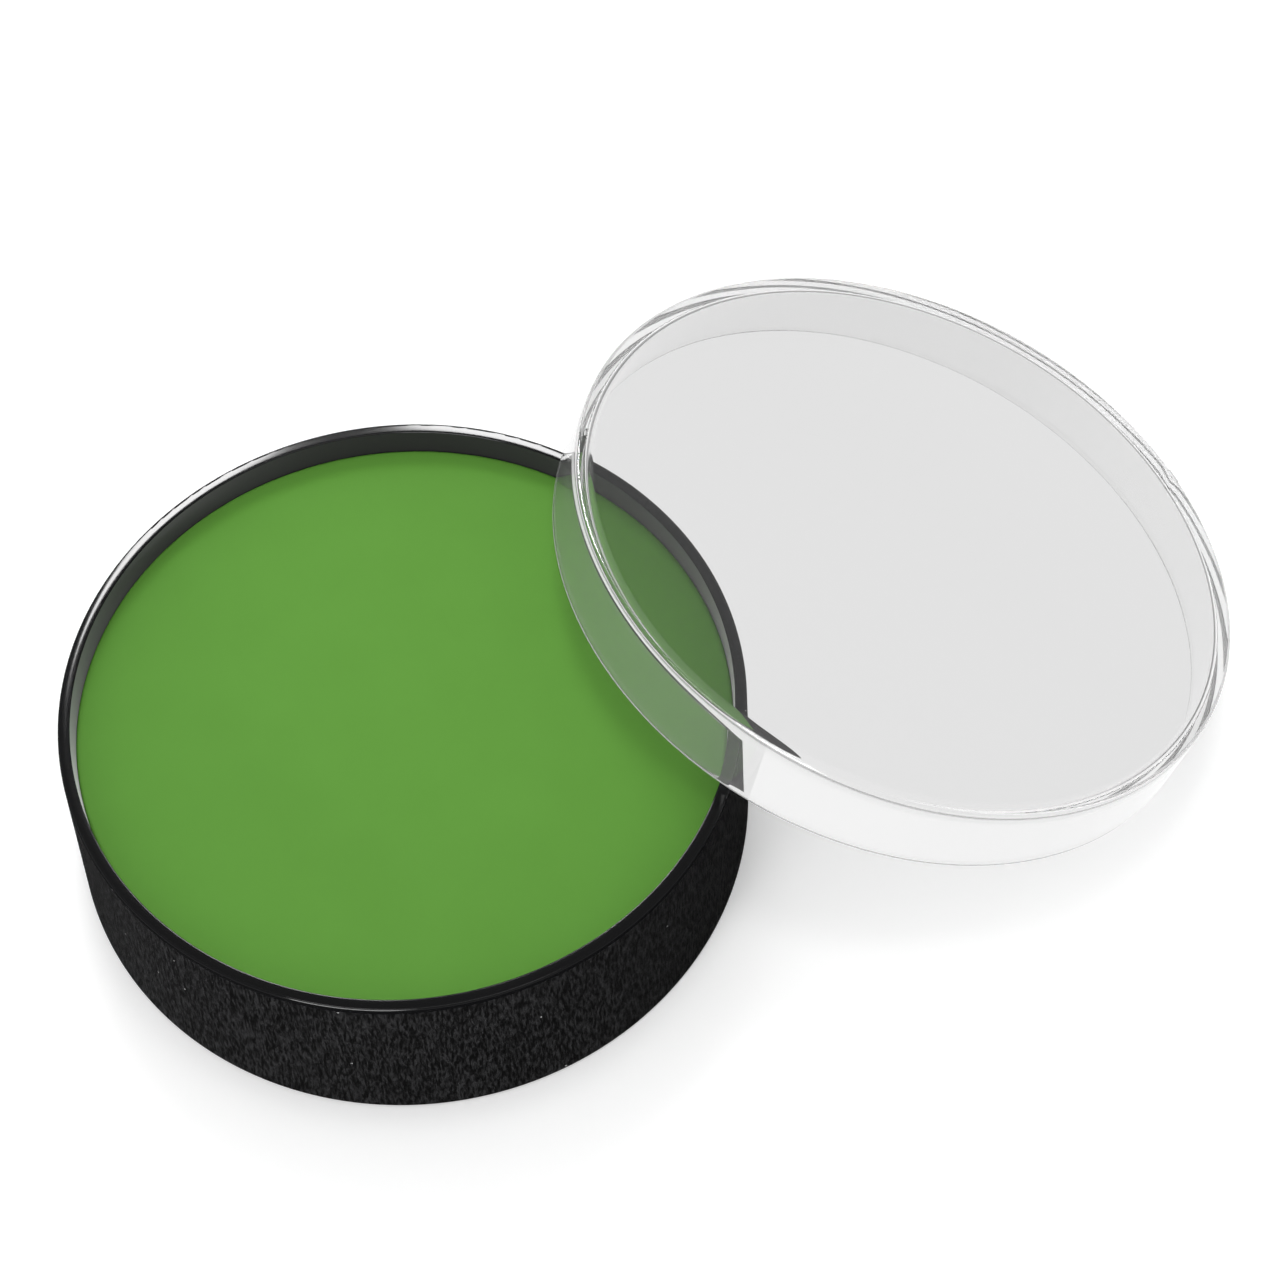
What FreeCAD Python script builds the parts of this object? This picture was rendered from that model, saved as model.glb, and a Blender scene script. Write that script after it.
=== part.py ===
"""Open pot of creme colour: a moulded cup, the cake poured into it, and a clear slip-on lid.

The origin is the centre of the cup's underside, on the surface that everything stands on, with +Z up
along the cup's axis. The lid leans towards +X: its high side reaches over the cup's rim and its low
side rests on the surface. Lengths are in millimetres and angles in degrees.
"""
import FreeCAD
import Part

import math
import os

# Cup
CUP_RIM_RADIUS = 30.0
CUP_HEIGHT = 17.8
CUP_OUTER_DRAFT = 0.90  # how far the outer wall leans out from the rim to the foot
CUP_RIM_WALL = 1.05
CUP_INNER_DRAFT = 0.25  # how far the inner wall leans in from the rim to the floor
CUP_FLOOR = 1.60
CUP_RIM_ROUND = 0.30
CUP_FOOT_ROUND = 0.50
CUP_FLOOR_ROUND = 2.00
GROOVE_RADIUS = 24.0  # moulded ring groove in the underside
GROOVE_WIDTH = 2.50
GROOVE_DEPTH = 0.50

# Colour cake
CAKE_BELOW_RIM = 2.70
CAKE_EDGE_ROUND = 0.30

# Lid
LID_DEPTH = 7.70
LID_PLATE = 1.20
LID_MOUTH_WALL = 0.90
LID_CLEARANCE = 1.10  # between the cup's rim and the lid's mouth, on the radius
LID_INNER_DRAFT = 0.15
LID_OUTER_DRAFT = 0.10
LID_INNER_ROUND = 0.80
LID_OUTER_ROUND = 0.35
LID_MOUTH_ROUND = 0.20
GATE_WIDTH = 1.80
GATE_HEIGHT = 0.70
GATE_STAND_OUT = 0.25
GATE_ANGLE = 4.0  # round the lid, from its low side

# Where the lid lies
LEAN_CONTACT_ANGLE = 39.0  # on the cup's rim, from +X, where the lid's mouth crosses it
LEAN_GAP = 0.30  # between the cup's rim and the lid's mouth


def rounded_outline(corners):
    """Return the face of an outline in the XZ plane, from its corners as (radius, height, rounding)."""
    starts = []
    arcs = []
    count = len(corners)
    for index, (radius, height, rounding) in enumerate(corners):
        corner = FreeCAD.Vector(radius, 0, height)
        before = FreeCAD.Vector(corners[index - 1][0], 0, corners[index - 1][1]) - corner
        after = FreeCAD.Vector(corners[(index + 1) % count][0], 0, corners[(index + 1) % count][1]) - corner
        if rounding == 0:
            starts.append((corner, corner))
            arcs.append(None)
            continue
        half_angle = before.getAngle(after) / 2
        before.normalize()
        after.normalize()
        tangent = rounding / math.tan(half_angle)
        bisector = (before + after).normalize()
        middle = corner + bisector * (rounding / math.sin(half_angle) - rounding)
        start = corner + before * tangent
        end = corner + after * tangent
        starts.append((start, end))
        arcs.append(Part.Arc(start, middle, end).toShape())
    edges = []
    for index in range(count):
        if arcs[index] is not None:
            edges.append(arcs[index])
        run_start = starts[index][1]
        run_end = starts[(index + 1) % count][0]
        edges.append(Part.makeLine(run_start, run_end))
    return Part.Face(Part.Wire(edges))


def turned(corners):
    """Return the solid that the outline makes when it turns round the Z axis."""
    return rounded_outline(corners).revolve(FreeCAD.Vector(0, 0, 0), FreeCAD.Vector(0, 0, 1), 360)


def cup_inner_radius(height):
    """Return the cup's inner radius at a height above its underside."""
    share = (CUP_HEIGHT - height) / (CUP_HEIGHT - CUP_FLOOR)
    return CUP_RIM_RADIUS - CUP_RIM_WALL - CUP_INNER_DRAFT * share


def make_cup():
    """Return the cup: floor, drafted wall, rounded rim, and a ring groove in the flat underside."""
    cup = turned([
        (0, 0, 0),
        (CUP_RIM_RADIUS + CUP_OUTER_DRAFT, 0, CUP_FOOT_ROUND),
        (CUP_RIM_RADIUS, CUP_HEIGHT, CUP_RIM_ROUND),
        (CUP_RIM_RADIUS - CUP_RIM_WALL, CUP_HEIGHT, CUP_RIM_ROUND),
        (cup_inner_radius(CUP_FLOOR), CUP_FLOOR, CUP_FLOOR_ROUND),
        (0, CUP_FLOOR, 0),
    ])
    groove_edge = GROOVE_DEPTH / 2
    groove = turned([
        (GROOVE_RADIUS - GROOVE_WIDTH / 2, -GROOVE_DEPTH, 0),
        (GROOVE_RADIUS + GROOVE_WIDTH / 2, -GROOVE_DEPTH, 0),
        (GROOVE_RADIUS + GROOVE_WIDTH / 2, GROOVE_DEPTH, groove_edge),
        (GROOVE_RADIUS - GROOVE_WIDTH / 2, GROOVE_DEPTH, groove_edge),
    ])
    return cup.cut(groove)


def make_cake():
    """Return the cake: it fills the cup up to its top, and its top edge is rounded off."""
    top = CUP_HEIGHT - CAKE_BELOW_RIM
    return turned([
        (0, CUP_FLOOR, 0),
        (cup_inner_radius(CUP_FLOOR), CUP_FLOOR, CUP_FLOOR_ROUND),
        (cup_inner_radius(top), top, CAKE_EDGE_ROUND),
        (0, top, 0),
    ])


LID_MOUTH_INNER_RADIUS = CUP_RIM_RADIUS + LID_CLEARANCE
LID_MOUTH_OUTER_RADIUS = LID_MOUTH_INNER_RADIUS + LID_MOUTH_WALL


def make_lid():
    """Return the lid lying level, plate up, with the centre of its mouth at the origin."""
    inner_at_plate = LID_MOUTH_INNER_RADIUS - LID_INNER_DRAFT
    outer_at_plate = LID_MOUTH_OUTER_RADIUS - LID_OUTER_DRAFT
    ceiling = LID_DEPTH - LID_PLATE
    lid = turned([
        (0, ceiling, 0),
        (inner_at_plate, ceiling, LID_INNER_ROUND),
        (LID_MOUTH_INNER_RADIUS, 0, LID_MOUTH_ROUND),
        (LID_MOUTH_OUTER_RADIUS, 0, LID_MOUTH_ROUND),
        (outer_at_plate, LID_DEPTH, LID_OUTER_ROUND),
        (0, LID_DEPTH, 0),
    ])
    gate_root = outer_at_plate - LID_MOUTH_WALL / 2
    gate = Part.makeBox(
        LID_MOUTH_WALL / 2 + GATE_STAND_OUT,
        GATE_WIDTH,
        GATE_HEIGHT,
        FreeCAD.Vector(gate_root, -GATE_WIDTH / 2, LID_DEPTH - LID_OUTER_ROUND - GATE_HEIGHT),
    )
    gate.rotate(FreeCAD.Vector(0, 0, 0), FreeCAD.Vector(0, 0, 1), GATE_ANGLE)
    return lid.fuse(gate).removeSplitter()


def lean(lid):
    """Lay the lid against the cup, with its low edge on the surface."""
    contact = math.radians(LEAN_CONTACT_ANGLE)
    across = CUP_RIM_RADIUS * math.sin(contact)
    along = math.sqrt(LID_MOUTH_INNER_RADIUS ** 2 - across ** 2)
    low_reach = LID_MOUTH_OUTER_RADIUS - LID_MOUTH_ROUND
    tilt = math.asin((CUP_HEIGHT + LEAN_GAP) / (low_reach + along))
    mouth_x = CUP_RIM_RADIUS * math.cos(contact) + along * math.cos(tilt)
    mouth_z = low_reach * math.sin(tilt) + LID_MOUTH_ROUND * (1 - math.cos(tilt))
    lid.rotate(FreeCAD.Vector(0, 0, 0), FreeCAD.Vector(0, 1, 0), math.degrees(tilt))
    lid.translate(FreeCAD.Vector(mouth_x, 0, mouth_z))
    return lid


def main():
    """Build each piece and write it to its own file."""
    os.makedirs("parts", exist_ok=True)
    pieces = {
        "base_cup": make_cup(),
        "colour_cake": make_cake(),
        "lid": lean(make_lid()),
    }
    for name, piece in pieces.items():
        piece.exportStep(os.path.join("parts", name + ".step"))


main()
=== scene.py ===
"""Visual model of an open pot of green creme colour, with its clear lid leaning on the rim.

Everything is in metres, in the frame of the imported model: the origin is the centre of the cup's
underside, +Z runs up the cup's axis, and the lid leans towards +X with its low side on the table.
"""
import logging
import math
from dataclasses import dataclass, field
from enum import Enum

import bmesh
import bpy
from mathutils import Matrix, Vector


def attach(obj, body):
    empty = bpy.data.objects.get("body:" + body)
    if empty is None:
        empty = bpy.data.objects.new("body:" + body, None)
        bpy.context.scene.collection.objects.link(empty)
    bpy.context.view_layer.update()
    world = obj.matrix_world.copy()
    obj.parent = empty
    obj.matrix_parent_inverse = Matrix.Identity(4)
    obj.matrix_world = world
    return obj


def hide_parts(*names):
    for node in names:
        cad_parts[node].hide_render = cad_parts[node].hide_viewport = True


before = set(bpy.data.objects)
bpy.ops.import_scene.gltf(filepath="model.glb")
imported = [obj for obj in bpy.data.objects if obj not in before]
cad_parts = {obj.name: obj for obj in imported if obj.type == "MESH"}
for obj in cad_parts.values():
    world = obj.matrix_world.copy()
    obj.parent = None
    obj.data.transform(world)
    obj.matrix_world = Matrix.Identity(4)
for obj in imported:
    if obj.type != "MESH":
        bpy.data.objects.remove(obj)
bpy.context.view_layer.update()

MM = 0.001
FULL_TURN = math.tau
ROUND_STEPS = 256
MIX_SHARE = 0  # sockets of a Mix node that mixes colours
MIX_A = 6
MIX_B = 7
MIX_COLOUR = 2
MERGE_REACH = 1e-7
RING_REACH = 2e-6
HALF_BOUNCE = 0.5  # tells no bounce from one or more
JUST_SHORT = 0.98  # share of a rounding that stops just short of the next ring
HIDDEN_STEPS = 3  # faces across a rounding, by how closely it is seen
PLAIN_STEPS = 5
FINE_STEPS = 6
CLEAR_STEPS = 8
LOG = logging.getLogger("creme_pot")


class Body(Enum):
    """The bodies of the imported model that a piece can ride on."""

    POT = "pot"
    LID = "lid"


class Reach(Enum):
    """Whether a studio light is only mirrored by glossy surfaces, or only falls on matt ones."""

    GLOSS = "gloss"
    MATT = "matt"


class Slot(Enum):
    """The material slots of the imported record."""

    BLACK = "black_plastic"
    CREME = "creme"
    CLEAR = "clear_plastic"


def linear(code: str) -> tuple[float, float, float, float]:
    """Turn an sRGB hex colour into linear light.

    Args:
        code: Six hex digits, with or without a leading #.

    Returns:
        Red, green, blue and an alpha of 1.
    """
    digits = code.lstrip("#")
    shares = [int(digits[at:at + 2], 16) / 255 for at in (0, 2, 4)]
    red, green, blue = (
        share / 12.92 if share <= 0.04045 else ((share + 0.055) / 1.055) ** 2.4 for share in shares
    )
    return (red, green, blue, 1.0)


def add_node(
    tree: bpy.types.NodeTree, kind: str, inputs: dict | None = None, **settings: object
) -> bpy.types.Node:
    """Add one node to a tree, with its settings, its input values and its links.

    Args:
        tree: The node tree.
        kind: The node's type name.
        inputs: Socket name or number to a value, or to the output socket that feeds it.
        **settings: Properties of the node itself.

    Returns:
        The new node.
    """
    node = tree.nodes.new(kind)
    for name, value in settings.items():
        setattr(node, name, value)
    for name, value in (inputs or {}).items():
        if isinstance(value, bpy.types.NodeSocket):
            tree.links.new(value, node.inputs[name])
        else:
            node.inputs[name].default_value = value
    return node


def new_material(name: str) -> tuple[bpy.types.Material, bpy.types.NodeTree]:
    """Make an empty node material.

    Args:
        name: The material's name.

    Returns:
        The material and its node tree.
    """
    material = bpy.data.materials.new(name)
    material.use_nodes = True
    material.node_tree.nodes.clear()
    return material, material.node_tree


def object_coordinates(
    tree: bpy.types.NodeTree, stretch: tuple[float, float, float] = (1, 1, 1)
) -> bpy.types.NodeSocket:
    """Give a piece's own coordinates in metres, stretched along its axes.

    Args:
        tree: The material's node tree.
        stretch: What each axis is multiplied by.

    Returns:
        The output socket of the coordinates.
    """
    place = add_node(tree, "ShaderNodeTexCoord").outputs["Object"]
    return add_node(tree, "ShaderNodeMapping", {"Vector": place, "Scale": stretch}).outputs["Vector"]


def unscattered_ray(tree: bpy.types.NodeTree) -> bpy.types.NodeSocket:
    """Give a socket that is 1 for a ray that has met no matt surface yet.

    Args:
        tree: The node tree of a light, the daylight or the floor.

    Returns:
        The output socket.
    """
    path = add_node(tree, "ShaderNodeLightPath").outputs
    unscattered = add_node(
        tree, "ShaderNodeMath", {0: path["Diffuse Depth"], 1: HALF_BOUNCE}, operation="LESS_THAN"
    )
    return unscattered.outputs["Value"]


def satin_ray(tree: bpy.types.NodeTree) -> bpy.types.NodeSocket:
    """Give a socket that is 1 for a ray off a satin or polished piece, but not off the clear lid.

    Args:
        tree: The node tree of the floor.

    Returns:
        The output socket.
    """
    path = add_node(tree, "ShaderNodeLightPath").outputs
    mirrored = add_node(
        tree,
        "ShaderNodeMath",
        {0: path["Is Glossy Ray"], 1: path["Is Reflection Ray"]},
        operation="MULTIPLY",
    )
    blurred = add_node(
        tree, "ShaderNodeMath", {0: 1.0, 1: path["Is Singular Ray"]}, operation="SUBTRACT"
    )
    satin = add_node(
        tree,
        "ShaderNodeMath",
        {0: mirrored.outputs["Value"], 1: blurred.outputs["Value"]},
        operation="MULTIPLY",
    )
    return satin.outputs["Value"]


def clear_ray(tree: bpy.types.NodeTree) -> bpy.types.NodeSocket:
    """Give a socket that is 1 for a ray straight through or off the clear lid.

    Args:
        tree: The node tree of the floor or the daylight.

    Returns:
        The output socket.
    """
    path = add_node(tree, "ShaderNodeLightPath").outputs
    clear = add_node(
        tree,
        "ShaderNodeMath",
        {0: path["Is Singular Ray"], 1: unscattered_ray(tree)},
        operation="MULTIPLY",
    )
    return clear.outputs["Value"]


@dataclass(frozen=True)
class DustAndShadeSpecks:
    """Fine specks scattered over a surface: the dust that charged polystyrene picks up, or spots of
    painted shade for pinhole pits.

    Attributes:
        spacing: Size of the cells that may hold one speck each, in metres.
        speck: Radius of a speck, in metres; real ones are finer, and this is the finest that shows.
        rarity: Share of the cells that stay clean.
    """

    spacing: float = 1.6 * MM
    speck: float = 0.10 * MM
    rarity: float = 0.80

    def mask(self, tree: bpy.types.NodeTree) -> bpy.types.NodeSocket:
        """Mark the specks.

        Args:
            tree: The material's node tree.

        Returns:
            An output socket that is 1 on a speck and 0 elsewhere.
        """
        cells = add_node(
            tree,
            "ShaderNodeTexVoronoi",
            {"Vector": object_coordinates(tree), "Scale": 1 / self.spacing},
        )
        near = add_node(
            tree,
            "ShaderNodeMath",
            {0: cells.outputs["Distance"], 1: self.speck / self.spacing},
            operation="LESS_THAN",
        )
        chance = add_node(tree, "ShaderNodeSeparateColor", {"Color": cells.outputs["Color"]})
        chosen = add_node(
            tree,
            "ShaderNodeMath",
            {0: chance.outputs["Red"], 1: self.rarity},
            operation="GREATER_THAN",
        )
        speck = add_node(
            tree,
            "ShaderNodeMath",
            {0: near.outputs["Value"], 1: chosen.outputs["Value"]},
            operation="MULTIPLY",
        )
        return speck.outputs["Value"]


@dataclass(frozen=True)
class PolishedPolystyrene:
    """Black polystyrene moulded against polished steel: sharp mirrored lights over a deep black."""

    colour: str = "#0A0A0B"
    dust_colour: str = "#B8B8B8"
    ior: float = 1.59
    specular_level: float = 0.20
    smooth_roughness: float = 0.05
    hazy_roughness: float = 0.12
    haze_size: float = 9 * MM
    haze_detail: float = 3.0
    dust: DustAndShadeSpecks = field(default_factory=DustAndShadeSpecks)

    def material(self) -> bpy.types.Material:
        """Make the material.

        Returns:
            The material.
        """
        material, tree = new_material("polystyrene_black_polished")
        haze = add_node(
            tree,
            "ShaderNodeTexNoise",
            {
                "Vector": object_coordinates(tree),
                "Scale": 1 / self.haze_size,
                "Detail": self.haze_detail,
            },
        )
        roughness = add_node(
            tree,
            "ShaderNodeMapRange",
            {
                "Value": haze.outputs["Fac"],
                "To Min": self.smooth_roughness,
                "To Max": self.hazy_roughness,
            },
        )
        colour = add_node(
            tree,
            "ShaderNodeMix",
            {
                MIX_SHARE: self.dust.mask(tree),
                MIX_A: linear(self.colour),
                MIX_B: linear(self.dust_colour),
            },
            data_type="RGBA",
        )
        shader = add_node(
            tree,
            "ShaderNodeBsdfPrincipled",
            {
                "Base Color": colour.outputs[MIX_COLOUR],
                "Roughness": roughness.outputs["Result"],
                "IOR": self.ior,
                "Specular IOR Level": self.specular_level,
            },
        )
        add_node(tree, "ShaderNodeOutputMaterial", {"Surface": shader.outputs["BSDF"]})
        return material


@dataclass(frozen=True)
class HazedPolystyrene:
    """Black polystyrene inside the cup, hazed by wiping: dark, with a pale bloom seen along the wall."""

    colour: str = "#101010"
    ior: float = 1.59
    specular_level: float = 0.04
    roughness: float = 0.35
    sheen_weight: float = 0.75
    sheen_roughness: float = 0.40
    haze_size: float = 6 * MM
    haze_detail: float = 4.0
    haze_depth: float = 0.02 * MM

    def material(self) -> bpy.types.Material:
        """Make the material.

        Returns:
            The material.
        """
        material, tree = new_material("polystyrene_black_hazed")
        haze = add_node(
            tree,
            "ShaderNodeTexNoise",
            {
                "Vector": object_coordinates(tree),
                "Scale": 1 / self.haze_size,
                "Detail": self.haze_detail,
            },
        )
        relief = add_node(
            tree,
            "ShaderNodeBump",
            {"Height": haze.outputs["Fac"], "Strength": 1.0, "Distance": self.haze_depth},
        )
        shader = add_node(
            tree,
            "ShaderNodeBsdfPrincipled",
            {
                "Base Color": linear(self.colour),
                "Roughness": self.roughness,
                "IOR": self.ior,
                "Specular IOR Level": self.specular_level,
                "Sheen Weight": self.sheen_weight,
                "Sheen Roughness": self.sheen_roughness,
                "Normal": relief.outputs["Normal"],
            },
        )
        add_node(tree, "ShaderNodeOutputMaterial", {"Surface": shader.outputs["BSDF"]})
        return material


@dataclass(frozen=True)
class GrainedPolystyrene:
    """Black polystyrene moulded against a spark-eroded cavity: satin black with a fine upright grain,
    its tops lightened as a painted highlight.

    Attributes:
        hollow_colour: Colour between the grains.
        ridge_highlight_colour: Colour on top of the grains, lighter as a painted highlight where the
            grain tops catch the light.
        dust_colour: Colour of the dust.
        ior: Refractive index.
        specular_level: Strength of the mirrored light.
        ridge_roughness: Roughness on top of the grains.
        hollow_roughness: Roughness between the grains.
        roughness_range: Heights of the grain between which the roughness changes.
        ridge_highlight_range: Heights of the grain between which the painted highlight fades in.
        grain_width: Width of a grain, in metres; the real one is about 0.1 mm, and this is the
            finest that shows.
        grain_stretch: Share of its width that a grain has per unit of its height.
        grain_depth: Depth of the grain, in metres, deeper than the real one for the same reason.
        grain_detail: Number of finer grains laid over the main one.
        grain_share: Share of its size that each finer grain keeps.
        dust: The specks of dust on the grains.
    """

    hollow_colour: str = "#040404"
    # the lighter grain tops are a painted highlight
    ridge_highlight_colour: str = "#323233"
    dust_colour: str = "#B8B8B8"
    ior: float = 1.59
    specular_level: float = 0.20
    ridge_roughness: float = 0.28
    hollow_roughness: float = 0.50
    roughness_range: tuple[float, float] = (0.35, 0.65)
    ridge_highlight_range: tuple[float, float] = (0.45, 0.60)
    grain_width: float = 0.24 * MM
    grain_stretch: float = 0.20
    grain_depth: float = 0.60 * MM
    grain_detail: float = 4.0
    grain_share: float = 0.75
    dust: DustAndShadeSpecks = field(default_factory=DustAndShadeSpecks)

    def material(self) -> bpy.types.Material:
        """Make the material.

        Returns:
            The material.
        """
        material, tree = new_material("polystyrene_black_spark_grained")
        along_wall = object_coordinates(tree, (1, 1, self.grain_stretch))
        grain = add_node(
            tree,
            "ShaderNodeTexNoise",
            {
                "Vector": along_wall,
                "Scale": 1 / self.grain_width,
                "Detail": self.grain_detail,
                "Roughness": self.grain_share,
            },
        )
        relief = add_node(
            tree,
            "ShaderNodeBump",
            {"Height": grain.outputs["Fac"], "Strength": 1.0, "Distance": self.grain_depth},
        )
        roughness = add_node(
            tree,
            "ShaderNodeMapRange",
            {
                "Value": grain.outputs["Fac"],
                "From Min": self.roughness_range[0],
                "From Max": self.roughness_range[1],
                "To Min": self.hollow_roughness,
                "To Max": self.ridge_roughness,
            },
        )
        # painted highlight: the grain tops get a lighter colour, standing in for the light that they
        # catch
        ridge_highlight = add_node(
            tree,
            "ShaderNodeMapRange",
            {
                "Value": grain.outputs["Fac"],
                "From Min": self.ridge_highlight_range[0],
                "From Max": self.ridge_highlight_range[1],
            },
        )
        plastic = add_node(
            tree,
            "ShaderNodeMix",
            {
                MIX_SHARE: ridge_highlight.outputs["Result"],
                MIX_A: linear(self.hollow_colour),
                MIX_B: linear(self.ridge_highlight_colour),
            },
            data_type="RGBA",
        )
        colour = add_node(
            tree,
            "ShaderNodeMix",
            {
                MIX_SHARE: self.dust.mask(tree),
                MIX_A: plastic.outputs[MIX_COLOUR],
                MIX_B: linear(self.dust_colour),
            },
            data_type="RGBA",
        )
        shader = add_node(
            tree,
            "ShaderNodeBsdfPrincipled",
            {
                "Base Color": colour.outputs[MIX_COLOUR],
                "Roughness": roughness.outputs["Result"],
                "IOR": self.ior,
                "Specular IOR Level": self.specular_level,
                "Normal": relief.outputs["Normal"],
            },
        )
        add_node(tree, "ShaderNodeOutputMaterial", {"Surface": shader.outputs["BSDF"]})
        return material


@dataclass(frozen=True)
class PouredCreme:
    """Oily pigment paste, poured warm and set: even satin green, faintly mottled, with the shade in a
    few pinhole pits painted as dark spots.
    """

    colour: str = "#5D933B"
    mottle_colour: str = "#598E37"
    # colour of the painted shade inside the pinhole pits
    pinhole_shade_colour: str = "#24401A"
    ior: float = 1.46
    specular_level: float = 0.04
    roughness: float = 0.65
    mottle_size: float = 7 * MM
    mottle_detail: float = 3.0
    skin_size: float = 0.5 * MM
    skin_detail: float = 2.0
    skin_depth: float = 0.006 * MM
    shaded_pinholes: DustAndShadeSpecks = field(default_factory=lambda: DustAndShadeSpecks(7 * MM, 0.14 * MM, 0.90))

    def material(self) -> bpy.types.Material:
        """Make the material.

        Returns:
            The material.
        """
        material, tree = new_material("creme_poured_satin_green")
        place = object_coordinates(tree)
        mottle = add_node(
            tree,
            "ShaderNodeTexNoise",
            {"Vector": place, "Scale": 1 / self.mottle_size, "Detail": self.mottle_detail},
        )
        skin = add_node(
            tree,
            "ShaderNodeTexNoise",
            {"Vector": place, "Scale": 1 / self.skin_size, "Detail": self.skin_detail},
        )
        relief = add_node(
            tree,
            "ShaderNodeBump",
            {"Height": skin.outputs["Fac"], "Strength": 1.0, "Distance": self.skin_depth},
        )
        paste = add_node(
            tree,
            "ShaderNodeMix",
            {
                MIX_SHARE: mottle.outputs["Fac"],
                MIX_A: linear(self.colour),
                MIX_B: linear(self.mottle_colour),
            },
            data_type="RGBA",
        )
        # painted shade: dark spots stand in for the shade inside a few pinhole pits
        colour = add_node(
            tree,
            "ShaderNodeMix",
            {
                MIX_SHARE: self.shaded_pinholes.mask(tree),
                MIX_A: paste.outputs[MIX_COLOUR],
                MIX_B: linear(self.pinhole_shade_colour),
            },
            data_type="RGBA",
        )
        shader = add_node(
            tree,
            "ShaderNodeBsdfPrincipled",
            {
                "Base Color": colour.outputs[MIX_COLOUR],
                "Roughness": self.roughness,
                "IOR": self.ior,
                "Specular IOR Level": self.specular_level,
                "Normal": relief.outputs["Normal"],
            },
        )
        add_node(tree, "ShaderNodeOutputMaterial", {"Surface": shader.outputs["BSDF"]})
        return material


@dataclass(frozen=True)
class ClearPolystyrene:
    """Crystal polystyrene, injection moulded: it bends light strongly, with faint flow ripples.

    Attributes:
        name: The material's name.
        scuffing: Share of the light that fine scratches scatter.
        colour: What is left of white light through one face.
        shade_colour: What is left of white light in the shadow of one face.
        ior: Refractive index.
        roughness: Roughness of the faces.
        ripple_size: Distance between ripples, in metres.
        ripple_detail: Number of finer ripples laid over the main one.
        ripple_depth: Depth of the ripples, in metres.
    """

    name: str = "polystyrene_clear_moulded"
    scuffing: float = 0.0
    colour: str = "#F6F6F6"
    shade_colour: str = "#F2F2F2"
    ior: float = 1.59
    roughness: float = 0.0
    ripple_size: float = 9 * MM
    ripple_detail: float = 1.0
    ripple_depth: float = 0.02 * MM

    def material(self) -> bpy.types.Material:
        """Make the material.

        Returns:
            The material.
        """
        material, tree = new_material(self.name)
        ripple = add_node(
            tree,
            "ShaderNodeTexNoise",
            {
                "Vector": object_coordinates(tree),
                "Scale": 1 / self.ripple_size,
                "Detail": self.ripple_detail,
            },
        )
        relief = add_node(
            tree,
            "ShaderNodeBump",
            {"Height": ripple.outputs["Fac"], "Strength": 1.0, "Distance": self.ripple_depth},
        )
        clear = add_node(
            tree,
            "ShaderNodeBsdfPrincipled",
            {
                "Base Color": linear(self.colour),
                "Roughness": self.roughness,
                "IOR": self.ior,
                "Transmission Weight": 1.0 - self.scuffing,
                "Normal": relief.outputs["Normal"],
            },
        )
        shade = add_node(tree, "ShaderNodeBsdfTransparent", {"Color": linear(self.shade_colour)})
        shadow = add_node(tree, "ShaderNodeLightPath").outputs["Is Shadow Ray"]
        surface = add_node(
            tree,
            "ShaderNodeMixShader",
            {0: shadow, 1: clear.outputs["BSDF"], 2: shade.outputs["BSDF"]},
        )
        add_node(tree, "ShaderNodeOutputMaterial", {"Surface": surface.outputs["Shader"]})
        return material


@dataclass(frozen=True)
class Fillet:
    """A ring edge of a turned piece and how far it is rounded.

    Attributes:
        radius: Radius of the ring, in metres.
        height: Height of the ring, in metres.
        reach: How far the rounding runs along the faces beside the ring, in metres.
        steps: Number of faces across the rounding.
    """

    radius: float
    height: float
    reach: float
    steps: int = PLAIN_STEPS


def turn(outline: list[tuple[float, float]], closed: bool) -> bmesh.types.BMesh:
    """Turn an outline round the Z axis into a closed skin.

    Args:
        outline: Points as (radius, height), in metres.
        closed: Whether the last point joins the first; otherwise both ends are on the axis.

    Returns:
        The skin, with its seam and its poles merged and its faces pointing outwards.
    """
    skin = bmesh.new()
    points = [skin.verts.new((radius, 0, height)) for radius, height in outline]
    pairs = list(zip(points, points[1:]))
    if closed:
        pairs.append((points[-1], points[0]))
    edges = [skin.edges.new(pair) for pair in pairs]
    bmesh.ops.spin(
        skin,
        geom=points + edges,
        cent=(0, 0, 0),
        axis=(0, 0, 1),
        dvec=(0, 0, 0),
        angle=FULL_TURN,
        steps=ROUND_STEPS,
        use_merge=True,
        use_duplicate=False,
    )
    bmesh.ops.remove_doubles(skin, verts=skin.verts, dist=MERGE_REACH)
    bmesh.ops.recalc_face_normals(skin, faces=skin.faces)
    return skin


def round_off(skin: bmesh.types.BMesh, fillets: list[Fillet]) -> None:
    """Round ring edges of a turned skin.

    Args:
        skin: The skin, changed in place.
        fillets: The rings and their roundings.
    """
    for fillet in fillets:
        ring = [
            edge
            for edge in skin.edges
            if all(
                abs(math.hypot(vert.co.x, vert.co.y) - fillet.radius) < RING_REACH
                and abs(vert.co.z - fillet.height) < RING_REACH
                for vert in edge.verts
            )
        ]
        bmesh.ops.bevel(
            skin,
            geom=ring,
            offset=fillet.reach,
            offset_type="OFFSET",
            affect="EDGES",
            segments=fillet.steps,
            profile=0.5,
            material=-1,
        )


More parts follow.
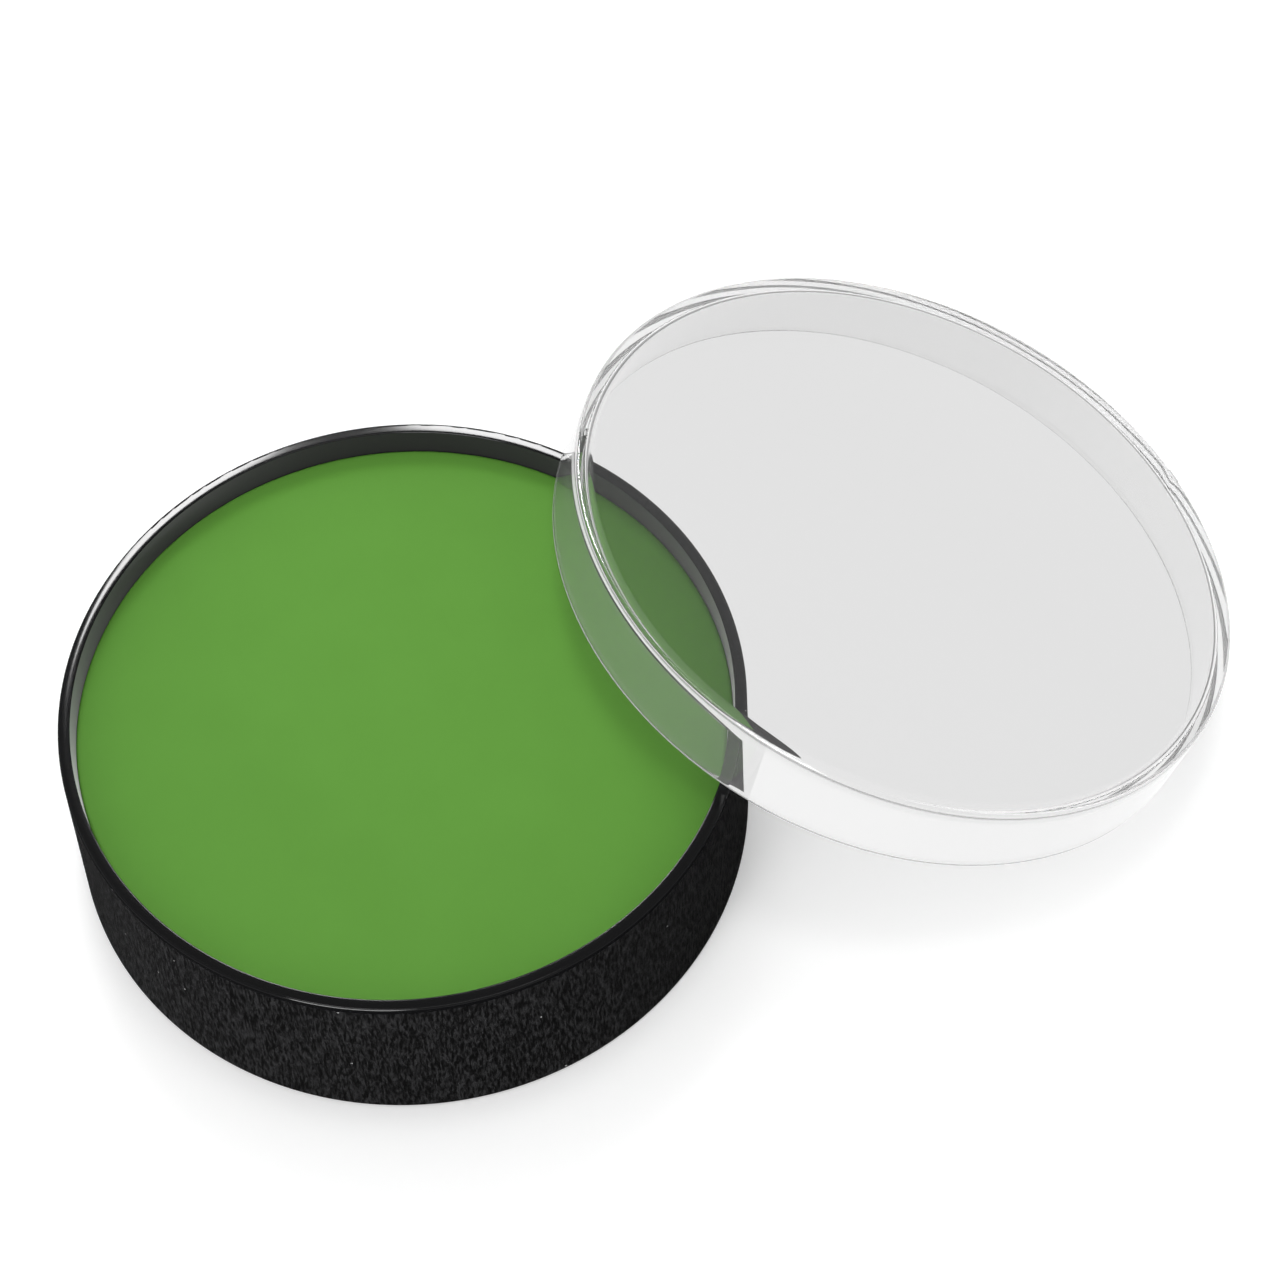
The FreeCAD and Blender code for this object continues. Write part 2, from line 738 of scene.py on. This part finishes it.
def finish_piece(
    skin: bmesh.types.BMesh, name: str, materials: list[bpy.types.Material]
) -> bpy.types.Object:
    """Turn a skin into a smooth-shaded object at the origin.

    Args:
        skin: The skin; it is freed.
        name: The piece's name.
        materials: The piece's materials, in the order of its faces' material numbers.

    Returns:
        The new object.
    """
    for face in skin.faces:
        face.smooth = True
    mesh = bpy.data.meshes.new(name)
    skin.to_mesh(mesh)
    skin.free()
    for material in materials:
        mesh.materials.append(material)
    piece = bpy.data.objects.new(name, mesh)
    bpy.context.scene.collection.objects.link(piece)
    shading = piece.modifiers.new("even_shading", "WEIGHTED_NORMAL")
    shading.mode = "FACE_AREA"
    shading.weight = 100
    return piece


def place_in_frame(piece: bpy.types.Object, body: Body, node: str) -> None:
    """Make a piece stand for a CAD node and ride on its body.

    Args:
        piece: The piece, in place.
        body: The body that it rides on.
        node: The CAD node that it replaces.
    """
    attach(piece, body.value)
    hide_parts(node)
    faces = len(piece.data.polygons)
    LOG.info("%s: %d faces, rides on %s, stands for %s", piece.name, faces, body.value, node)


@dataclass(frozen=True)
class Cup:
    """The black cup: grained outside, polished on the rim and underneath, hazed inside."""

    rim_radius: float = 30.0 * MM
    height: float = 17.8 * MM
    foot_lean: float = 0.90 * MM
    rim_wall: float = 1.05 * MM
    inner_lean: float = 0.25 * MM
    floor: float = 1.60 * MM
    foot_round: float = 0.50 * MM
    floor_round: float = 2.00 * MM
    rim_outer_round: float = 0.22 * MM
    rim_inner_round: float = 0.08 * MM
    rim_crown: float = 0.03 * MM
    rim_crown_round: float = 0.315 * MM
    polished_band: float = 0.55 * MM
    groove_radius: float = 24.0 * MM
    groove_width: float = 2.50 * MM
    groove_depth: float = 0.50 * MM

    @property
    def rim_inner_radius(self) -> float:
        """Give the inner radius at the rim."""
        return self.rim_radius - self.rim_wall

    def inner_radius(self, height: float) -> float:
        """Give the inner wall's radius at a height.

        Args:
            height: Height above the underside, in metres.

        Returns:
            The radius, in metres.
        """
        share = (self.height - height) / (self.height - self.floor)
        return self.rim_inner_radius - self.inner_lean * share

    def outer_radius(self, height: float) -> float:
        """Give the outer wall's radius at a height.

        Args:
            height: Height above the underside, in metres.

        Returns:
            The radius, in metres.
        """
        return self.rim_radius + self.foot_lean * (self.height - height) / self.height

    def skin(self) -> bmesh.types.BMesh:
        """Build the cup's skin.

        Returns:
            The skin, with its grained faces and its hazed faces numbered apart.
        """
        edge = self.height - self.rim_crown
        crown_radius = self.rim_radius - self.rim_wall / 2
        band = self.height - self.polished_band
        foot = self.rim_radius + self.foot_lean
        groove_in = self.groove_radius - self.groove_width / 2
        groove_out = self.groove_radius + self.groove_width / 2
        skin = turn(
            [
                (0, 0),
                (groove_in, 0),
                (groove_in, self.groove_depth),
                (groove_out, self.groove_depth),
                (groove_out, 0),
                (foot, 0),
                (self.outer_radius(band), band),
                (self.rim_radius, edge),
                (crown_radius, self.height),
                (self.rim_inner_radius, edge),
                (self.inner_radius(self.floor), self.floor),
                (0, self.floor),
            ],
            closed=False,
        )
        round_off(
            skin,
            [
                Fillet(groove_in, self.groove_depth, self.groove_depth / 2, HIDDEN_STEPS),
                Fillet(groove_out, self.groove_depth, self.groove_depth / 2, HIDDEN_STEPS),
                Fillet(foot, 0, self.foot_round),
                Fillet(self.rim_radius, edge, self.rim_outer_round, FINE_STEPS),
                Fillet(crown_radius, self.height, self.rim_crown_round, FINE_STEPS),
                Fillet(self.rim_inner_radius, edge, self.rim_inner_round, FINE_STEPS),
                Fillet(self.inner_radius(self.floor), self.floor, self.floor_round, FINE_STEPS),
            ],
        )
        for face in skin.faces:
            centre = face.calc_center_median()
            across = math.hypot(centre.x, centre.y)
            if across > self.rim_radius - RING_REACH and centre.z < band:
                face.material_index = 1
            elif across < self.rim_inner_radius and self.floor / 2 < centre.z < edge:
                face.material_index = 2
        return skin

    def build(self) -> bpy.types.Object:
        """Build and dress the cup.

        Returns:
            The piece.
        """
        finishes = [
            PolishedPolystyrene().material(),
            GrainedPolystyrene().material(),
            HazedPolystyrene().material(),
        ]
        piece = finish_piece(self.skin(), "cup", finishes)
        place_in_frame(piece, Body.POT, "base_cup")
        return piece


@dataclass(frozen=True)
class Cake:
    """The creme in the cup: a broad flat top that rises a little where it wets the wall."""

    cup: Cup
    below_rim: float = 2.70 * MM
    gap: float = 0.02 * MM
    edge_round: float = 0.30 * MM
    dish: float = 0.10 * MM
    meniscus: float = 1.5 * MM
    meniscus_round: float = 0.9 * MM

    def skin(self) -> bmesh.types.BMesh:
        """Build the cake's skin.

        Returns:
            The skin.
        """
        top = self.cup.height - self.below_rim
        wall = self.cup.inner_radius(top) - self.gap
        floor = self.cup.floor + self.gap
        floor_wall = self.cup.inner_radius(floor) - self.gap
        skin = turn(
            [
                (0, floor),
                (floor_wall, floor),
                (wall, top),
                (wall - self.meniscus, top - self.dish),
                (wall / 2, top - self.dish),
                (0, top - self.dish),
            ],
            closed=False,
        )
        round_off(
            skin,
            [
                Fillet(floor_wall, floor, self.cup.floor_round, FINE_STEPS),
                Fillet(wall, top, self.edge_round),
                Fillet(wall - self.meniscus, top - self.dish, self.meniscus_round, FINE_STEPS),
            ],
        )
        return skin

    def build(self) -> bpy.types.Object:
        """Build and dress the cake.

        Returns:
            The piece.
        """
        piece = finish_piece(self.skin(), "creme_cake", [PouredCreme().material()])
        place_in_frame(piece, Body.POT, "colour_cake")
        return piece


@dataclass(frozen=True)
class Lid:
    """The clear slip-on lid, tilted against the cup's rim with its low side on the table."""

    cup: Cup
    depth: float = 7.70 * MM
    plate: float = 1.20 * MM
    mouth_wall: float = 0.90 * MM
    clearance: float = 1.10 * MM
    inner_lean: float = 0.15 * MM
    outer_lean: float = 0.10 * MM
    inner_round: float = 0.80 * MM
    outer_round: float = 0.35 * MM
    mouth_round: float = 0.20 * MM
    mouth_edge_round: float = 0.38 * MM
    gate_height: float = 0.70 * MM
    gate_stand_out: float = 0.25 * MM
    gate_angle: float = 4.0
    gate_steps: int = 2
    contact_angle: float = 39.0
    lean_gap: float = 0.30 * MM
    scuffing: float = 0.04
    scuffed_shade_colour: str = "#FAFAFA"

    @property
    def mouth_inner_radius(self) -> float:
        """Give the inner radius of the lid's mouth."""
        return self.cup.rim_radius + self.clearance

    @property
    def mouth_outer_radius(self) -> float:
        """Give the outer radius of the lid's mouth."""
        return self.mouth_inner_radius + self.mouth_wall

    def outer_radius(self, height: float) -> float:
        """Give the skirt's outer radius at a height above the mouth, all in metres."""
        return self.mouth_outer_radius - self.outer_lean * height / self.depth

    def lean(self) -> Matrix:
        """Work out where the lid lies: against the cup's rim, with its low edge on the table.

        Returns:
            The placement of a lid whose mouth is centred on the origin, plate up.
        """
        contact = math.radians(self.contact_angle)
        across = self.cup.rim_radius * math.sin(contact)
        along = math.sqrt(self.mouth_inner_radius ** 2 - across ** 2)
        low_reach = self.mouth_outer_radius - self.mouth_round
        tilt = math.asin((self.cup.height + self.lean_gap) / (low_reach + along))
        mouth_x = self.cup.rim_radius * math.cos(contact) + along * math.cos(tilt)
        mouth_z = low_reach * math.sin(tilt) + self.mouth_round * (1 - math.cos(tilt))
        return Matrix.Translation((mouth_x, 0, mouth_z)) @ Matrix.Rotation(tilt, 4, "Y")

    def add_gate(self, skin: bmesh.types.BMesh, low: float, high: float) -> None:
        """Draw the broken-off gate out of the skirt's outer face.

        Args:
            skin: The lid's skin, changed in place.
            low: Height of the gate's lower edge, in metres.
            high: Height of the gate's upper edge, in metres.
        """
        step = FULL_TURN / ROUND_STEPS
        first = round(math.radians(self.gate_angle) / step) - self.gate_steps // 2
        middle = (first + self.gate_steps / 2) * step
        faces = []
        for face in skin.faces:
            centre = face.calc_center_median()
            angle = math.atan2(centre.y, centre.x)
            outside = math.hypot(centre.x, centre.y) > self.mouth_inner_radius + self.mouth_wall / 2
            beside = abs(angle - middle) < self.gate_steps * step / 2
            if outside and beside and low < centre.z < high:
                faces.append(face)
        drawn = bmesh.ops.extrude_face_region(skin, geom=faces)
        verts = [item for item in drawn["geom"] if isinstance(item, bmesh.types.BMVert)]
        outwards = Vector((math.cos(middle), math.sin(middle), 0)) * self.gate_stand_out
        bmesh.ops.translate(skin, verts=verts, vec=outwards)
        bmesh.ops.delete(skin, geom=faces, context="FACES_ONLY")

    def skin(self) -> bmesh.types.BMesh:
        """Build the lid's skin, in its place.

        Returns:
            The skin, with the skirt's faces numbered apart.
        """
        inner_plate = self.mouth_inner_radius - self.inner_lean
        outer_plate = self.mouth_outer_radius - self.outer_lean
        ceiling = self.depth - self.plate
        gate_high = self.depth - self.outer_round
        gate_low = gate_high - self.gate_height
        skin = turn(
            [
                (0, ceiling),
                (inner_plate, ceiling),
                (self.mouth_inner_radius, 0),
                (self.mouth_outer_radius, 0),
                (self.outer_radius(gate_low), gate_low),
                (self.outer_radius(gate_high), gate_high),
                (outer_plate, self.depth),
                (0, self.depth),
            ],
            closed=False,
        )
        round_off(
            skin,
            [
                Fillet(inner_plate, ceiling, self.inner_round, CLEAR_STEPS),
                Fillet(self.mouth_inner_radius, 0, self.mouth_edge_round),
                Fillet(self.mouth_outer_radius, 0, self.mouth_edge_round),
                Fillet(outer_plate, self.depth, self.outer_round * JUST_SHORT, FINE_STEPS),
            ],
        )
        self.add_gate(skin, gate_low, gate_high)
        plate_reach = inner_plate - self.inner_round
        for face in skin.faces:
            centre = face.calc_center_median()
            if math.hypot(centre.x, centre.y) > plate_reach and centre.z < ceiling:
                face.material_index = 1
        bmesh.ops.transform(skin, matrix=self.lean(), verts=skin.verts)
        return skin

    def build(self) -> bpy.types.Object:
        """Build and dress the lid.

        Returns:
            The piece.
        """
        skirt = ClearPolystyrene(
            "polystyrene_clear_scuffed", self.scuffing, shade_colour=self.scuffed_shade_colour
        )
        finishes = [ClearPolystyrene().material(), skirt.material()]
        piece = finish_piece(self.skin(), "clear_lid", finishes)
        place_in_frame(piece, Body.LID, "lid")
        return piece


@dataclass(frozen=True)
class Softbox:
    """A rectangular studio light that points at the pot.

    Attributes:
        name: The light's name.
        place: Where its middle is, in metres.
        width: Its level side, in metres.
        height: Its other side, in metres.
        brightness: Its radiance, where a white floor in full light is about 1.
        reach: Whether it shows only in glossy surfaces or lights only matt ones.
    """

    name: str
    place: tuple[float, float, float]
    width: float
    height: float
    brightness: float
    reach: Reach

    def build(self, aim: Vector) -> bpy.types.Object:
        """Build the light.

        Args:
            aim: The point that the light faces.

        Returns:
            The light's object.
        """
        data = bpy.data.lights.new(self.name, "AREA")
        data.shape = "RECTANGLE"
        data.size = self.width
        data.size_y = self.height
        data.energy = self.brightness * math.pi * self.width * self.height
        light = bpy.data.objects.new(self.name, data)
        light.location = self.place
        light.rotation_euler = (aim - Vector(self.place)).to_track_quat("-Z", "Y").to_euler()
        light.visible_camera = False
        light.visible_transmission = False
        light.visible_diffuse = self.reach is Reach.MATT
        light.visible_glossy = self.reach is Reach.GLOSS
        if self.reach is Reach.GLOSS:
            data.use_nodes = True
            tree = data.node_tree
            tree.nodes.clear()
            # a surface that has already scattered the ray gets no bright pool through the lid
            glow = add_node(tree, "ShaderNodeEmission", {"Strength": unscattered_ray(tree)})
            add_node(tree, "ShaderNodeOutputLight", {"Surface": glow.outputs["Emission"]})
        bpy.context.scene.collection.objects.link(light)
        return light


@dataclass(frozen=True)
class Studio:
    """A pale paper floor, soft daylight all round, softboxes and the camera.

    Attributes:
        floor_size: Side of the floor, in metres.
        floor_colour: Colour of the paper.
        floor_glow: Light that the over-lit paper adds when seen straight or mirrored.
        floor_in_gloss: Share of the floor that black plastic mirrors, so that it stays black.
        floor_through_clear: Brightness of the floor seen through the lid.
        floor_in_edges: Brightness of the floor seen through the lid's edges.
        daylight: Brightness of the light all round.
        daylight_in_gloss: Brightness of the sky overhead, where it is mirrored.
        skyline_in_gloss: Brightness of the sky near the skyline, where it is mirrored.
        skyline_low: Height on the unit sphere below which the skyline's brightness holds.
        skyline_high: Height on the unit sphere above which the overhead brightness holds.
        daylight_in_edges: Brightness of the daylight that the lid's edges carry inside them.
        backdrop: Brightness of the background behind the floor.
        inner_bounces: Number of times that light may be thrown about inside the lid.
        target: The point that the camera faces, in metres.
        turn: Turn of the camera's view from +Y towards +X, in degrees.
        tilt: Downward tilt of the camera's view, in degrees.
        distance: Distance from the camera to the target, in metres.
        lens: Focal length, in millimetres.
        sensor: Sensor width, in millimetres.
        clip_start: Nearest distance that the camera sees, in metres.
        softboxes: The lights.
    """

    floor_size: float = 2.0
    floor_colour: str = "#F4F4F4"
    floor_glow: float = 0.20
    floor_in_gloss: float = 0.05
    floor_through_clear: float = 0.89
    floor_in_edges: float = 1.05
    daylight: float = 0.76
    daylight_in_gloss: float = 0.30
    skyline_in_gloss: float = 0.80
    skyline_low: float = 0.25
    skyline_high: float = 0.45
    daylight_in_edges: float = 0.42
    backdrop: float = 1.0
    inner_bounces: int = 16
    target: tuple[float, float, float] = (23.908 * MM, 3.625 * MM, 7.852 * MM)
    turn: float = 21.935
    tilt: float = 57.431
    distance: float = 251.42 * MM
    lens: float = 75.94
    sensor: float = 36.0
    clip_start: float = 10 * MM
    softboxes: tuple[Softbox, ...] = (
        Softbox("softbox_back_left", (0.015, 0.410, 0.435), 0.070, 0.20, 38.0, Reach.GLOSS),
        Softbox("softbox_back_right", (0.130, 0.385, 0.435), 0.060, 0.20, 38.0, Reach.GLOSS),
        Softbox("softbox_front", (-0.35, -0.45, 0.40), 0.30, 0.30, 14.0, Reach.GLOSS),
        Softbox("softbox_top", (0.0, -0.05, 0.90), 0.50, 0.40, 4.0, Reach.GLOSS),
        Softbox("softbox_low", (-0.50, -0.36, 0.07), 0.20, 0.10, 60.0, Reach.MATT),
        Softbox("softbox_behind", (0.10, 0.42, 0.62), 0.20, 0.20, 12.0, Reach.MATT),
        Softbox("softbox_above", (0.03, 0.06, 0.90), 0.20, 0.20, 10.0, Reach.MATT),
    )

    def build_floor(self) -> bpy.types.Object:
        """Build the floor, which shows differently in black plastic and through the clear lid.

        Returns:
            The floor.
        """
        sheet = bmesh.new()
        bmesh.ops.create_grid(sheet, x_segments=1, y_segments=1, size=self.floor_size / 2)
        mesh = bpy.data.meshes.new("floor")
        sheet.to_mesh(mesh)
        sheet.free()
        material, tree = new_material("paper_floor_matt")
        red, green, blue, alpha = linear(self.floor_colour)
        dimming = self.floor_in_gloss
        dim_colour = (red * dimming, green * dimming, blue * dimming, alpha)
        dim = add_node(tree, "ShaderNodeBsdfDiffuse", {"Color": dim_colour})
        paper = add_node(tree, "ShaderNodeBsdfDiffuse", {"Color": (red, green, blue, alpha)})
        glow_strength = add_node(
            tree, "ShaderNodeMapRange", {"Value": unscattered_ray(tree), "To Max": self.floor_glow}
        )
        glow = add_node(tree, "ShaderNodeEmission", {"Strength": glow_strength.outputs["Result"]})
        glowing = add_node(
            tree, "ShaderNodeAddShader", {0: paper.outputs["BSDF"], 1: glow.outputs["Emission"]}
        )
        even_strength = add_node(
            tree,
            "ShaderNodeMapRange",
            {
                "Value": add_node(tree, "ShaderNodeLightPath").outputs["Glossy Depth"],
                "To Min": self.floor_through_clear,
                "To Max": self.floor_in_edges,
            },
        )
        even = add_node(tree, "ShaderNodeEmission", {"Strength": even_strength.outputs["Result"]})
        seen = add_node(
            tree,
            "ShaderNodeMixShader",
            {0: clear_ray(tree), 1: glowing.outputs["Shader"], 2: even.outputs["Emission"]},
        )
        surface = add_node(
            tree,
            "ShaderNodeMixShader",
            {0: satin_ray(tree), 1: seen.outputs["Shader"], 2: dim.outputs["BSDF"]},
        )
        add_node(tree, "ShaderNodeOutputMaterial", {"Surface": surface.outputs["Shader"]})
        mesh.materials.append(material)
        floor = bpy.data.objects.new("floor", mesh)
        bpy.context.scene.collection.objects.link(floor)
        return floor

    def build_daylight(self) -> None:
        """Build the even light that comes from all round, dimmer where it is mirrored."""
        world = bpy.data.worlds.new("studio")
        world.use_nodes = True
        tree = world.node_tree
        tree.nodes.clear()
        direction = add_node(tree, "ShaderNodeTexCoord").outputs["Generated"]
        height = add_node(tree, "ShaderNodeSeparateXYZ", {"Vector": direction})
        sky = add_node(
            tree,
            "ShaderNodeMapRange",
            {
                "Value": height.outputs["Z"],
                "From Min": self.skyline_low,
                "From Max": self.skyline_high,
                "To Min": self.skyline_in_gloss,
                "To Max": self.daylight_in_gloss,
            },
        )
        open_light, mirrored, piped_light, backdrop = (
            add_node(tree, "ShaderNodeBackground", {"Color": linear("#FFFFFF"), "Strength": strength})
            for strength in (
                self.daylight,
                sky.outputs["Result"],
                self.daylight_in_edges,
                self.backdrop,
            )
        )
        path = add_node(tree, "ShaderNodeLightPath").outputs
        reflected = add_node(
            tree, "ShaderNodeMath", {0: path["Glossy Depth"], 1: HALF_BOUNCE}, operation="GREATER_THAN"
        )
        entered = add_node(
            tree,
            "ShaderNodeMath",
            {0: reflected.outputs["Value"], 1: path["Is Transmission Ray"]},
            operation="MULTIPLY",
        )
        piped = add_node(
            tree,
            "ShaderNodeMath",
            {0: entered.outputs["Value"], 1: clear_ray(tree)},
            operation="MULTIPLY",
        )
        plain = add_node(
            tree,
            "ShaderNodeMixShader",
            {
                0: reflected.outputs["Value"],
                1: open_light.outputs["Background"],
                2: mirrored.outputs["Background"],
            },
        )
        lit = add_node(
            tree,
            "ShaderNodeMixShader",
            {
                0: piped.outputs["Value"],
                1: plain.outputs["Shader"],
                2: piped_light.outputs["Background"],
            },
        )
        surface = add_node(
            tree,
            "ShaderNodeMixShader",
            {
                0: path["Is Camera Ray"],
                1: lit.outputs["Shader"],
                2: backdrop.outputs["Background"],
            },
        )
        add_node(tree, "ShaderNodeOutputWorld", {"Surface": surface.outputs["Shader"]})
        bpy.context.scene.world = world

    def build_camera(self) -> bpy.types.Object:
        """Build the camera and make it the scene's.

        Returns:
            The camera.
        """
        turn_angle = math.radians(self.turn)
        tilt_angle = math.radians(self.tilt)
        level = math.cos(tilt_angle)
        ahead = (math.sin(turn_angle) * level, math.cos(turn_angle) * level, -math.sin(tilt_angle))
        view = Vector(ahead)
        right = Vector((math.cos(turn_angle), -math.sin(turn_angle), 0))
        up = right.cross(view)
        place = Vector(self.target) - view * self.distance
        data = bpy.data.cameras.new("camera")
        data.sensor_width = self.sensor
        data.lens = self.lens
        data.clip_start = self.clip_start
        camera = bpy.data.objects.new("camera", data)
        rotation = Matrix((right, up, -view)).transposed().to_4x4()
        camera.matrix_world = Matrix.Translation(place) @ rotation
        bpy.context.scene.collection.objects.link(camera)
        bpy.context.scene.camera = camera
        return camera

    def build(self) -> None:
        """Build the whole studio."""
        self.build_floor()
        self.build_daylight()
        for softbox in self.softboxes:
            softbox.build(Vector(self.target))
        self.build_camera()
        scene = bpy.context.scene
        scene.view_settings.view_transform = "Standard"
        scene.cycles.glossy_bounces = self.inner_bounces
        scene.cycles.transmission_bounces = self.inner_bounces
        scene.cycles.max_bounces = 2 * self.inner_bounces
        LOG.info("studio: %d softboxes, floor %.1f m across", len(self.softboxes), self.floor_size)


def main() -> None:
    """Build the pot, its lid and the studio, and report each piece."""
    logging.basicConfig(level=logging.INFO, format="%(name)s: %(message)s")
    cup = Cup()
    cup.build()
    Cake(cup).build()
    Lid(cup).build()
    Studio().build()


if __name__ == "__main__":
    main()
